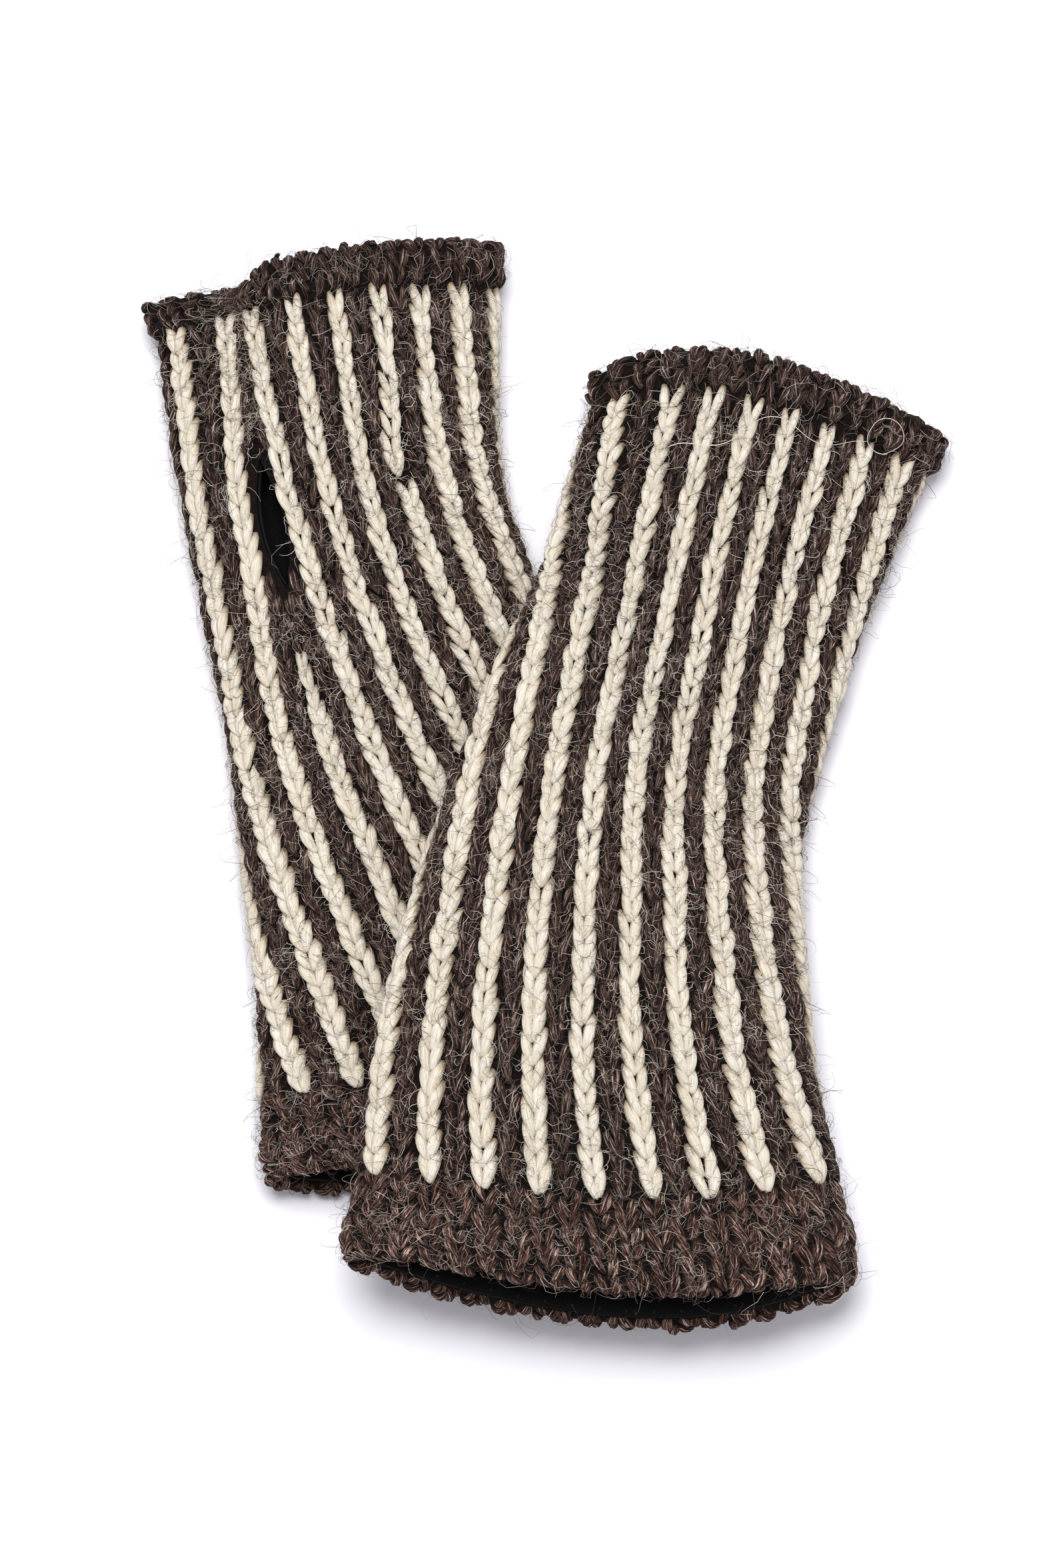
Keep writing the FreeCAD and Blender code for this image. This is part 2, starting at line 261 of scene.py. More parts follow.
def drape_heights():
    """Heights, on the plan grid, of what the right glove lies on: the floor, rising over the left one."""
    xs = np.arange(*DRAPE_GRID_X, DRAPE_GRID_STEP)
    ys = np.arange(*DRAPE_GRID_Y, DRAPE_GRID_STEP)
    x, y = np.meshgrid(xs, ys, indexing="ij")
    stations = np.arange(0, LENGTH + PAST_WRIST, 1.0)
    cx, cy, dx, dy = axis_at(LEFT, stations)
    near = np.argmin((x[..., None] - cx) ** 2 + (y[..., None] - cy) ** 2, axis=-1)
    t = stations[near] + (x - cx[near]) * dx[near] + (y - cy[near]) * dy[near]
    across = np.abs((y - cy[near]) * dx[near] - (x - cx[near]) * dy[near])
    beside = across - profile(HALF_WIDTHS, np.minimum(t, LENGTH))
    side_rise = smooth_step((DRAPE_SIDE[1] - beside) / (DRAPE_SIDE[1] - DRAPE_SIDE[0]))
    end_rise = smooth_step((DRAPE_END[1] - t + LENGTH) / (DRAPE_END[1] - DRAPE_END[0]))
    return DRAPE_HEIGHT * side_rise * end_rise


DRAPE = drape_heights()


def drape(x, y):
    return look_up(DRAPE, (x - DRAPE_GRID_X[0]) / DRAPE_GRID_STEP, (y - DRAPE_GRID_Y[0]) / DRAPE_GRID_STEP)


def place(glove, around, t, out):
    """Points at (around, along, out) on a glove, as an array with x, y, z last."""
    around, t, out = np.broadcast_arrays(around, t, out)
    side, height = section(around, profile(HALF_HEIGHTS, t) / profile(HALF_WIDTHS, t))
    t = t + row_shift(glove, side, height, t)
    half_width = profile(HALF_WIDTHS, t) + out
    half_height = profile(HALF_HEIGHTS, t)
    cx, cy, dx, dy = axis_at(glove, t)
    x = cx - dy * side * half_width
    y = cy + dx * side * half_width
    z = FLOOR_CLEARANCE + half_height + height * (half_height + out)
    if glove["draped"]:
        z = z + drape(x, y)
    return np.stack([x, y, z], axis=-1)


def slit_gap(t):
    """Half the thumb slit's opening at t."""
    share = (t - (SLIT_START + SLIT_END) / 2) / ((SLIT_END - SLIT_START) / 2)
    return SLIT_HALF_WIDTH * np.maximum(0.0, 1 - share * share)


def from_slit(glove, wale):
    """How many wales a wale lies from the slit's, positive on its inner side."""
    q = glove["slit_side"] * (np.asarray(wale, float) - glove["slit_wale"])
    return (q + WALES / 2) % WALES - WALES / 2


def wale_around(glove, wale, t):
    """Where a column of stitches lies round the glove, pulled towards the gap above the slit."""
    q = from_slit(glove, wale)
    outer = np.maximum(0.0, 1 + (q + BESIDE_SLIT) / PULL_REACH_OUTER)
    middle = 1 - (1 + PULL_INNER_SHARE) * (q + BESIDE_SLIT) / (2 * BESIDE_SLIT)
    inner = -PULL_INNER_SHARE * np.maximum(0.0, 1 - (q - BESIDE_SLIT) / PULL_REACH_INNER)
    share = np.where(q < -BESIDE_SLIT, outer, np.where(q < BESIDE_SLIT, middle, inner))
    pull = glove["slit_side"] * share * profile(PULLS, t)
    return (wale + profile(glove["turn"], t) + pull) / WALES


# ---------------------------------------------------------------- meshes


def fill_faces(data, faces):
    """Gives mesh data its faces, from groups of faces of one size, and returns their corners."""
    faces = [np.asarray(group) for group in faces if len(group)]
    corners = np.concatenate([group.reshape(-1) for group in faces])
    sizes = np.concatenate([np.full(len(group), group.shape[1]) for group in faces])
    data.loops.add(len(corners))
    data.loops.foreach_set("vertex_index", corners.astype(np.int32))
    data.polygons.add(len(sizes))
    data.polygons.foreach_set("loop_start", (np.cumsum(sizes) - sizes).astype(np.int32))
    data.polygons.foreach_set("loop_total", sizes.astype(np.int32))
    data.polygons.foreach_set("use_smooth", np.ones(len(sizes), bool))
    return corners


def mesh(name, body, slot, points, faces, uv=None, tint=None, shade_depth=None):
    """A mesh piece from points in millimetres and groups of faces of one size; uv, tint and depth are
    given for each point. The depth sets the painted shade in the stitches' creases."""
    data = bpy.data.meshes.new(name)
    points = np.asarray(points, float).reshape(-1, 3)
    data.vertices.add(len(points))
    data.vertices.foreach_set("co", (points * MM).astype(np.float32).reshape(-1))
    corners = fill_faces(data, faces)
    if uv is not None:
        layer = data.uv_layers.new(name="yarn")
        layer.data.foreach_set("uv", uv.astype(np.float32)[corners].reshape(-1))
    for attribute, values in (("tint", tint), ("shade_depth", shade_depth)):
        if values is not None:
            layer = data.attributes.new(attribute, "FLOAT", "POINT")
            layer.data.foreach_set("value", values.astype(np.float32))
    data.update(calc_edges=True)
    data.validate()
    piece = bpy.data.objects.new(name, data)
    bpy.context.scene.collection.objects.link(piece)
    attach(piece, body)
    return piece


# ---------------------------------------------------------------- the knitted wall

# The rims roll over: the wall goes on round a half circle to the inside
ROLL_RADIUS = 2.4
ROLL_CENTRE = -0.4
FINGER_ROLL = ROLL_RADIUS
WRIST_ROLL = LENGTH - ROLL_RADIUS
# The bands stand out this far. The bulge starts a little past each band's edge and rises over a fade
BAND_BULGE = ROLL_CENTRE + ROLL_RADIUS
FINGER_BULGE_PAST = 1.0
FINGER_BULGE_FADE = 4.5
WRIST_BULGE_PAST = 2.0
WRIST_BULGE_FADE = 7.0
# Yarn that would dip below this height is pressed flat on the floor
PRESSED_BELOW = 0.9
# The core, brown wool painted near black as the shade between the stitches, lies this far under their face
CORE_DEPTH = 1.3
RIM_STEPS = 7
COLUMNS_PER_WALE = 4
WALL_ROW = 3.0
SLIT_ROWS = np.linspace(SLIT_START, SLIT_END, 17)
# The slit is open where its two sides are further apart than this, in wales
NO_GAP = 1e-6


def band_bulge(t):
    """How far the bands stand out from the wall."""
    finger = smooth_step((FINGER_BAND_END + FINGER_BULGE_PAST - t) / FINGER_BULGE_FADE)
    wrist = smooth_step((t - WRIST_BAND_START + WRIST_BULGE_PAST) / WRIST_BULGE_FADE)
    return BAND_BULGE * np.maximum(finger, wrist)


def rolled(t, out):
    """Carries places beyond the rims round the rolls."""
    t, out = np.broadcast_arrays(np.asarray(t, float), np.asarray(out, float))
    out = out + band_bulge(t)
    radius = out - ROLL_CENTRE
    for edge, way in ((FINGER_ROLL, -1), (WRIST_ROLL, 1)):
        angle = np.clip(way * (t - edge) / ROLL_RADIUS, 0, math.pi)
        turned = angle > 0
        out = np.where(turned, ROLL_CENTRE + radius * np.cos(angle), out)
        t = np.where(turned, edge + way * radius * np.sin(angle), t)
    return t, out


def on_knit(glove, around, t, out):
    """Points on the knitting's face, which follows the bands and rests on the floor."""
    t, out = rolled(t, out)
    points = place(glove, around, t, out)
    low = np.exp(np.minimum(points[..., 2] - PRESSED_BELOW, 0) / PRESSED_BELOW) * PRESSED_BELOW
    points[..., 2] = np.where(points[..., 2] < PRESSED_BELOW, low, points[..., 2])
    return points


def opened(glove, wale, t, way):
    """Moves wales aside where the thumb slit is open; way is the side for the wale in its middle."""
    q = from_slit(glove, wale)
    side = np.where(q == 0, way, np.sign(q))
    gap = slit_gap(t) * WALES / girth(t)
    return wale + glove["slit_side"] * side * gap * np.maximum(0.0, 1 - np.abs(q) / BESIDE_SLIT)


def wall_rows(start, end):
    """Places along a wall, with the slit's own rows among them."""
    before = np.linspace(start, SLIT_START, round((SLIT_START - start) / WALL_ROW))[:-1]
    after = np.linspace(SLIT_END, end, round((end - SLIT_END) / WALL_ROW))[1:]
    return np.concatenate([before, SLIT_ROWS, after])


def wall_grid(glove, ts, outs):
    """Points and numbering of a wall's grid. Its slit column comes twice where the slit is open."""
    wales = np.arange(WALES * COLUMNS_PER_WALE) / COLUMNS_PER_WALE
    middle = int(glove["slit_wale"] * COLUMNS_PER_WALE)
    grid = opened(glove, wales[:, None], ts[None, :], -1)
    other = opened(glove, wales[middle], ts, 1)
    extra = np.nonzero(np.abs(other - grid[middle]) > NO_GAP)[0]
    all_wales = np.concatenate([grid.reshape(-1), other[extra]])
    all_t = np.concatenate([np.tile(ts, len(wales)), ts[extra]])
    all_out = np.concatenate([np.tile(outs, len(wales)), outs[extra]])
    points = place(glove, wale_around(glove, all_wales, all_t), all_t, all_out)
    index = np.arange(len(wales) * len(ts)).reshape(len(wales), len(ts))
    second = index[middle].copy()
    second[extra] = len(wales) * len(ts) + np.arange(len(extra))
    before, after = index[middle], second
    if glove["slit_side"] < 0:
        before, after = after, before
    return points, index, middle, before, after


def slit_sides(rows, before, after, behind):
    """The faces that join a wall's outer and inner face along the slit."""
    first = int(np.argmin(np.abs(rows - SLIT_START)))
    quads = []
    for k in range(first, first + len(SLIT_ROWS) - 1):
        for edge, step in ((before, 1), (after, -1)):
            quad = [edge[k], edge[k + 1], edge[behind - k - 1], edge[behind - k]]
            quads.append(np.array([quad[::step]]))
    return quads


def wall(name, slot, glove, outer, inner, rows, wrist_rim=(), finger_rim=()):
    """A closed wall round the glove with the slit cut through it. outer and inner are the outs of its
    faces at the rows, and the rims are (t, out) places that join them at the two ends."""
    ring = [*zip(rows, outer), *wrist_rim, *zip(rows[::-1], inner[::-1]), *finger_rim]
    ts, outs = np.array(ring).T
    points, index, middle, before, after = wall_grid(glove, ts, outs)
    columns = len(index)
    quads = []
    for c in range(columns):
        a = after if c == middle else index[c]
        b = before if (c + 1) % columns == middle else index[(c + 1) % columns]
        quads.append(np.stack([a, np.roll(a, -1), np.roll(b, -1), b], axis=-1))
    quads += slit_sides(rows, before, after, 2 * len(rows) + len(wrist_rim) - 1)
    faces = [list(dict.fromkeys(quad)) for quad in np.concatenate(quads).tolist()]
    groups = [[face for face in faces if len(face) == size] for size in (3, 4)]
    return mesh(name, glove["body"], slot, points, groups)


def rim_curve(edge, way):
    """The core's rim, round from the outer face to the inner one."""
    radius = ROLL_RADIUS - CORE_DEPTH
    angles = np.linspace(0, math.pi, RIM_STEPS + 2)[1:-1]
    return [(edge + way * radius * math.sin(a), ROLL_CENTRE + radius * math.cos(a)) for a in angles]


def knit_core(glove):
    """The body of the knitting, under the yarn: brown wool, painted darker than the yarn as the shade that
    falls between the stitches.
    """
    rows = wall_rows(FINGER_ROLL, WRIST_ROLL)
    outer = band_bulge(rows) - CORE_DEPTH
    inner = np.full(len(rows), -WOOL)
    rims = rim_curve(WRIST_ROLL, 1), rim_curve(FINGER_ROLL, -1)[::-1]
    return wall(f"{glove['name']}_knit_wall", "brown_wool", glove, outer, inner, rows, *rims)


def fleece(glove):
    """The lining's cloth, from just inside one rim to just inside the other."""
    rows = wall_rows(LINING_START, LINING_END)
    outer = np.full(len(rows), -WOOL - LAYER_GAP)
    return wall(f"{glove['name']}_fleece_cloth", "black_fleece", glove, outer, outer - LINING, rows)


# ---------------------------------------------------------------- stitches

# Length of a row of stitches, and of the bands' smaller ones
ROW = 5.0
BAND_ROW = 3.7
# How wide the stripes' and the ground's stitches are along the glove, compared with their templates.
# The bands' stitches follow the girth instead
STITCH_SIZES = [(0, 0.76), (30, 0.79), (90, 0.86), (150, 0.96), (237, 1.02)]
BAND_GIRTH = 236.0
# A leg starts this share of its width from the V's middle and spreads by this much more, on a bent line
LEG_POINT = 0.08
LEG_SPREAD = 0.65
LEG_BEND = 0.75
# Up the column, in rows, it starts below the row's place and reaches this far
LEG_START = -0.40
LEG_REACH = 1.5
# In millimetres, it bows out in its middle, and its end is tucked in behind the next stitch
LEG_BOW = 0.35
LEG_TUCK = 1.4
# It is fattest a little past its middle, and its ends close in tips of this share of its radius
LEG_FULLNESS = 1.15
LEG_TIP = 0.8
# How much a leg's width, length and height follow the stitch's size
SIZE_POWERS = np.array([1.0, 0.2, 0.5])
# How legs differ: in size, in place (across, up the column, out) and in lean. Brown ones differ more
SIZE_SCATTER = 0.06
PLACE_SCATTER = 0.18
PLACE_SCATTER_SHARES = np.array([1.0, 1.5, 0.7])
LEAN_SCATTER = 0.05
BROWN_UNEVENNESS = 1.8
BAND_UNEVENNESS = 2.2
# Each leg shows another piece of the yarn's pattern, which is this long and this far round
YARN_PATTERN = (400, 40)
# Painted shade darkens the colour over this depth below the top of a stitch, for the shade in the creases
CREASE_DEPTH = 2.2
# A stripe's first row, in rows past its start
FIRST_ROW = 0.6
# The gap in a stripe, and how far and where the stitches above it have slipped to the side
STRIPE_BREAKS = {("left", 6): (58.5, 63.5)}
BREAK_SLIP = -1.8
SLIP_START = 25
SLIP_REACH = 20
# The stripe below the slit starts narrow and widens over this length
NARROW_SHARE = 0.5
NARROW_REACH = 30.0
# Brown stitches run this far into the slit's two ends, and start this far below it in its own wale
GROUND_INTO_SLIT_START = 3
GROUND_INTO_SLIT_END = 2
GROUND_BELOW_SLIT = 4
# The bands' rows go on round the rolled rims
FINGER_BAND_ROWS = np.arange(-5.4, FINGER_BAND_END - 0.5, BAND_ROW)
WRIST_BAND_ROWS = np.arange(STRIPE_END + 5, LENGTH + 6, BAND_ROW)


def leg_path(width, front, pitch, s):
    """Points along a leg and unit directions there, from the V's point to the end tucked behind."""
    rise = front + LEG_BOW * np.sin(math.pi * s) - LEG_TUCK * s * s
    across = width * (LEG_POINT + LEG_SPREAD * s**LEG_BEND)
    path = np.stack([across, pitch * (LEG_START + LEG_REACH * s), rise], axis=-1)
    tangent = np.gradient(path, axis=0)
    tangent /= np.linalg.norm(tangent, axis=1, keepdims=True)
    return path, tangent


def leg_faces(rings, sides):
    """A leg's quads, and the triangles that close its two ends round the last two points."""
    k = np.arange(sides)
    following = (k + 1) % sides
    last = (rings - 1) * sides
    quads = [np.stack([r + k, r + following, r + following + sides, r + k + sides], axis=-1)
             for r in range(0, last, sides)]
    caps = [np.stack([np.full(sides, rings * sides), following, k], axis=-1),
            np.stack([np.full(sides, rings * sides + 1), last + k, last + following], axis=-1)]
    return np.concatenate(quads), np.concatenate(caps)


def leg_template(width, radius, flatness, front, pitch=ROW, taper=0.38, rings=9, sides=8):
    """One leg of a V stitch, in millimetres (across, up the column, out), with its yarn coordinates."""
    s = np.linspace(0, 1, rings)
    path, tangent = leg_path(width, front, pitch, s)
    side = np.cross(tangent, [0.0, 0.0, 1.0])
    side /= np.linalg.norm(side, axis=1, keepdims=True)
    lift = flatness * np.cross(side, tangent)
    fat = radius * (1 - taper + taper * np.sin(math.pi * s**LEG_FULLNESS))
    angle = 2 * math.pi * np.arange(sides) / sides
    ring = side[:, None] * np.cos(angle)[:, None] + lift[:, None] * np.sin(angle)[:, None]
    tips = np.stack([path[0] - LEG_TIP * fat[0] * tangent[0], path[-1] + LEG_TIP * fat[-1] * tangent[-1]])
    points = np.concatenate([(path[:, None] + ring * fat[:, None, None]).reshape(-1, 3), tips])
    length = np.concatenate([[0], np.cumsum(np.linalg.norm(np.diff(path, axis=0), axis=1))])
    uv = np.stack(np.broadcast_arrays(length[:, None], radius * angle), axis=-1).reshape(-1, 2)
    uv = np.concatenate([uv, [[0, 0], [length[-1], 0]]])
    return points, uv, *leg_faces(rings, sides)


CREAM_LEG = leg_template(width=3.1, radius=1.48, flatness=0.78, front=-0.15)
BROWN_LEG = leg_template(width=3.1, radius=1.3, flatness=0.9, front=-0.9, taper=0.45, rings=8, sides=7)
BAND_LEG = leg_template(
    width=3.4, radius=1.35, flatness=0.95, front=-1.0, pitch=BAND_ROW, taper=0.5, rings=8, sides=7
)


def scattered_legs(points, rows, sizes, unevenness, aside):
    """Copies of a leg for a column, two in each row, the second mirrored and all a little different."""
    local = np.broadcast_to(points, (len(rows), 2, len(points), 3)).copy()
    local[:, 1, :, 0] *= -1
    local *= sizes[:, None, None, None] ** SIZE_POWERS
    local *= rng.normal(1.0, SIZE_SCATTER * unevenness, (len(rows), 2, 1, 1))
    local += rng.normal(0.0, PLACE_SCATTER * unevenness, (len(rows), 2, 1, 3)) * PLACE_SCATTER_SHARES
    local[..., 0] += rng.normal(0.0, LEAN_SCATTER * unevenness, (len(rows), 2, 1)) * local[..., 1]
    local[..., 0] += np.broadcast_to(aside, rows.shape)[:, None, None]
    return local


def copied_faces(faces, legs, points_per_leg):
    """A leg's faces for every leg, turned over on the mirrored ones."""
    mirrored = (np.arange(legs) % 2 == 1)[:, None, None]
    copies = faces + (np.arange(legs) * points_per_leg)[:, None, None]
    return np.where(mirrored, copies[..., ::-1], copies).reshape(-1, faces.shape[1])


def column(glove, wale, rows, template, sizes, unevenness=1.0, aside=0.0):
    """A column of V stitches: points, quads, triangles, yarn coordinates, tints and depths, the depths for
    the painted shade in the creases. aside is how far each row has slipped across."""
    points, uv, quads, caps = template
    legs = 2 * len(rows)
    local = scattered_legs(points, rows, sizes, unevenness, aside)
    t = rows[:, None, None] - local[..., 1]
    way = np.sign(from_slit(glove, wale)) or 1
    around = wale_around(glove, opened(glove, np.full_like(t, wale), t, way), t) + local[..., 0] / girth(t)
    found = on_knit(glove, around, t, local[..., 2]).reshape(-1, 3)
    start = np.stack([rng.uniform(0, size, legs) for size in YARN_PATTERN], axis=-1)
    tint = np.repeat(rng.uniform(0, 1, legs), len(points))
    # How far below the leg's top each point lies, from 0 deep to 1 at the top; it sets the painted shade
    shade_depth = smooth_step((points[:, 2] - points[:, 2].max() + CREASE_DEPTH) / CREASE_DEPTH)
    faces = [copied_faces(group, legs, len(points)) for group in (quads, caps)]
    return found, *faces, (uv + start[:, None]).reshape(-1, 2), tint, np.tile(shade_depth, legs)


def joined(parts):
    """Several columns as one: points, faces, yarn coordinates, tints and the depths for the painted shade.
    """
    starts = np.concatenate([[0], np.cumsum([len(part[0]) for part in parts])[:-1]])
    quads = np.concatenate([part[1] + start for part, start in zip(parts, starts)])
    caps = np.concatenate([part[2] + start for part, start in zip(parts, starts)])
    points, uv, tint, shade_depth = (np.concatenate([part[k] for part in parts]) for k in (0, 3, 4, 5))
    return points, (quads, caps), uv, tint, shade_depth


def rows_between(start, end):
    return np.arange(end, start, -ROW)


def cream_stripe(glove, index):
    """One stripe's yarn. The stripe in the slit's wale starts below the slit."""
    wale = 2 * index
    below_slit = wale == glove["slit_wale"]
    rows = rows_between(SLIT_STRIPE_START if below_slit else STRIPE_START + FIRST_ROW * ROW, STRIPE_END)
    low, high = STRIPE_BREAKS.get((glove["name"], index), (0, 0))
    rows = rows[(rows < low) | (rows > high)]
    sizes = profile(STITCH_SIZES, rows)
    if below_slit:
        widening = smooth_step((rows - SLIT_STRIPE_START) / NARROW_REACH)
        sizes = sizes * (NARROW_SHARE + (1 - NARROW_SHARE) * widening)
    aside = BREAK_SLIP * (rows < low) * smooth_step((rows - low + SLIP_START) / SLIP_REACH)
    stitches = joined([column(glove, wale, rows, CREAM_LEG, sizes, aside=aside)])
    piece = mesh(f"{glove['name']}_stripe_yarn_{index + 1:02d}", glove["body"], "cream_wool", *stitches)
    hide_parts(f"{glove['name']}_cream_stripe_{index + 1:02d}")
    return piece


def ground_rows(glove, wale):
    """The rows of a wale's brown stitches. A stripe's wale has none, unless the stripe starts below the
    slit: then it has a few under the slit."""
    rows = rows_between(STRIPE_START, STRIPE_END)
    beside_slit = abs(from_slit(glove, wale))
    if beside_slit == 0:
        return rows[(rows > SLIT_END + GROUND_BELOW_SLIT) & (rows < SLIT_STRIPE_START)]
    if wale % 2 == 0:
        return rows[:0]
    if beside_slit < BESIDE_SLIT:
        return rows[(rows < SLIT_START + GROUND_INTO_SLIT_START) | (rows > SLIT_END - GROUND_INTO_SLIT_END)]
    return rows


def brown_ground(glove):
    """The brown columns between the stripes."""
    parts = []
    for wale in range(WALES):
        rows = ground_rows(glove, wale)
        if len(rows):
            parts.append(column(glove, wale, rows, BROWN_LEG, profile(STITCH_SIZES, rows), BROWN_UNEVENNESS))
    return mesh(f"{glove['name']}_brown_stitches", glove["body"], "brown_wool", *joined(parts))


def band_stitches(glove, end, rows):
    """The knitting of one band, without stripes."""
    sizes = girth(rows) / BAND_GIRTH
    parts = [column(glove, wale, rows, BAND_LEG, sizes, BAND_UNEVENNESS) for wale in range(WALES)]
    piece = mesh(f"{glove['name']}_{end}_band_stitches", glove["body"], "brown_wool", *joined(parts))
    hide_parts(f"{glove['name']}_{end}_band")
    return piece


# ---------------------------------------------------------------- loose fibres

# A fibre is a tube of this many sides and rings, which ends at this share of its radius
FIBRE_SIDES = 3
FIBRE_RINGS = 6
FIBRE_END = 0.45
FIBRE_RADII = (0.7, 1.3)
# Tubes are built round a direction that fibres hardly ever run along, with a guard against zero lengths
ASKEW = [0.31, 0.17, 0.93]
ALMOST_ZERO = 1e-9
# How fibres wander: the spreads of their turn and of a wave on it, in radians, then how many times they
# wave and what part of a hump they rise over
CURL = 3.6
WAVE = 0.9
WAVE_TURNS = (0.6, 1.6)
HUMP_TURNS = (0.55, 1.1)
# Fibres reach this far past the rims
PAST_RIM = 3.0
# This share of the brown knitting's fibres grows on the wrist band besides the even cover
WRIST_SHARE = 0.08
# How far fibres scatter across their wale, and the share of them that grows on the upper side only
WALE_SCATTER = 0.32
TOP_SHARE = 0.8
# No fibre grows this near the slit: in wales across it, and past its ends
SLIT_BARE_WALES = 1.6
SLIT_BARE_ENDS = 2
# Fibres start at these outs. This share of them stands this much higher
BROWN_ROOTS = (-0.9, 0.1)
CREAM_ROOTS = (0.4, 1.0)
HIGH_SHARE = 0.1
HIGH_RISE = 2.2
# Two long hairs by the right glove's finger end, a wavy one and a loop. Each has its start (around, t),
# first direction, length, turn and wave. Both bob up and down over the knitting
HAIRS = [(0.14, 28.0, -0.75, 52.0, 0.8, 0.6), (0.42, 12.0, 2.4, 29.0, 6.6, 0.0)]
HAIR_POINTS = 60
HAIR_WAVES = 12
HAIR_OUT = 2.6
HAIR_BOBBING = 0.8
HAIR_BOBS = 5
HAIR_RADIUS = 0.13
HAIR_TINT = 0.98


def fibre_mesh(paths, radii):
    """Closed, tapering tubes along paths (fibre, point, xyz): points and faces."""
    count, rings = paths.shape[:2]
    tangent = np.gradient(paths, axis=1)
    tangent /= np.linalg.norm(tangent, axis=2, keepdims=True) + ALMOST_ZERO
    side = np.cross(tangent, ASKEW)
    side /= np.linalg.norm(side, axis=2, keepdims=True) + ALMOST_ZERO
    lift = np.cross(side, tangent)
    angle = 2 * math.pi * np.arange(FIBRE_SIDES) / FIBRE_SIDES
    thin = radii[:, None] * np.linspace(1.0, FIBRE_END, rings)[None, :]
    ring = side[:, :, None] * np.cos(angle)[:, None] + lift[:, :, None] * np.sin(angle)[:, None]
    points = paths[:, :, None] + ring * thin[:, :, None, None]
    per_fibre = rings * FIBRE_SIDES
    k = np.arange(FIBRE_SIDES)
    following = (k + 1) % FIBRE_SIDES
    quads = [np.stack([r + k, r + following, r + following + FIBRE_SIDES, r + k + FIBRE_SIDES], axis=-1)
             for r in range(0, per_fibre - FIBRE_SIDES, FIBRE_SIDES)]
    quads = np.concatenate(quads)
    caps = np.array([k[::-1], per_fibre - FIBRE_SIDES + k])
    starts = (np.arange(count) * per_fibre)[:, None, None]
    return points.reshape(-1, 3), ((quads + starts).reshape(-1, 4), (caps + starts).reshape(-1, 3))


def fibre_paths(glove, roots, lengths, base, rise):
    """Curly paths that leave the knitting at roots (around, t) and wander over it."""
    count = len(roots)
    s = np.linspace(0, 1, FIBRE_RINGS)[None, :]
    heading = rng.uniform(0, 2 * math.pi, (count, 1))
    curl = rng.normal(0, CURL, (count, 1))
    wave = rng.normal(0, WAVE, (count, 1)) * np.sin(2 * math.pi * s * rng.uniform(*WAVE_TURNS, (count, 1)))
    angle = heading + curl * s + wave
    step = lengths[:, None] / (FIBRE_RINGS - 1)
    across = np.cumsum(np.cos(angle) * step, axis=1)
    along = np.cumsum(np.sin(angle) * step, axis=1)
    t = np.clip(roots[:, 1:] + along, -PAST_RIM, LENGTH + PAST_RIM)
    around = roots[:, :1] + across / girth(np.clip(t, 0, LENGTH))
    hump = np.sin(math.pi * np.minimum(s * rng.uniform(*HUMP_TURNS, (count, 1)), 1))
    return on_knit(glove, around, t, rise[:, None] * hump + base[:, None])


def fibre_roots(glove, count, on_cream):
    """Random places on the brown knitting, or on the cream stripes."""
    t = rng.uniform(STRIPE_START if on_cream else 0.0, STRIPE_END if on_cream else LENGTH, count)
    if not on_cream:
        on_wrist = rng.uniform(0, 1, count) < WRIST_SHARE
        t = np.where(on_wrist, rng.uniform(STRIPE_END, LENGTH, count), t)
    wale = 2 * rng.integers(0, STRIPES, count) + rng.normal(0, WALE_SCATTER, count)
    if not on_cream:
        on_band = (t < FINGER_BAND_END) | (t > STRIPE_END)
        wale = np.where(on_band, rng.uniform(0, WALES, count), wale + 1)
    top_only = rng.uniform(0, 1, count) < TOP_SHARE
    around = wale_around(glove, wale, t) % 1.0
    on_top = around < 0.5
    keep = on_top | ~top_only
    along_slit = (t > SLIT_START - SLIT_BARE_ENDS) & (t < SLIT_END + SLIT_BARE_ENDS)
    keep &= ~((np.abs(from_slit(glove, wale)) < SLIT_BARE_WALES) & along_slit)
    return np.stack([around[keep], t[keep]], axis=-1)


def fibres(glove, name, count, on_cream, lengths, heights, radius, slot):
    """Loose fibres of one kind on one glove."""
    roots = fibre_roots(glove, count, on_cream)
    count = len(roots)
    length = rng.uniform(*lengths, count)
    base = rng.uniform(*(CREAM_ROOTS if on_cream else BROWN_ROOTS), count)
    rise = rng.uniform(*heights, count) * (1 + HIGH_RISE * (rng.uniform(0, 1, count) < HIGH_SHARE))
    paths = fibre_paths(glove, roots, length, base, rise)
    points, faces = fibre_mesh(paths, radius * rng.uniform(*FIBRE_RADII, count))
    tint = np.repeat(rng.uniform(0, 1, count), FIBRE_SIDES * FIBRE_RINGS)
    return mesh(f"{glove['name']}_{name}", glove["body"], slot, points, faces, tint=tint)


def stray_hair(glove):
    """The long hairs, as one piece."""
    s = np.linspace(0, 1, HAIR_POINTS)
    paths = []
    for around, t, direction, length, turn, wave in HAIRS:
        angle = direction + turn * s + wave * np.sin(HAIR_WAVES * s)
        x = np.cumsum(np.cos(angle)) * length / HAIR_POINTS
        y = np.cumsum(np.sin(angle)) * length / HAIR_POINTS
        out = HAIR_OUT + HAIR_BOBBING * np.sin(HAIR_BOBS * s)
        paths.append(on_knit(glove, around + x / girth(t), t + y, out))
    points, faces = fibre_mesh(np.array(paths), np.full(len(paths), HAIR_RADIUS))
    tint = np.full(len(points), HAIR_TINT)
    return mesh(f"{glove['name']}_stray_hair", glove["body"], "brown_wool", points, faces, tint=tint)


# ---------------------------------------------------------------- materials


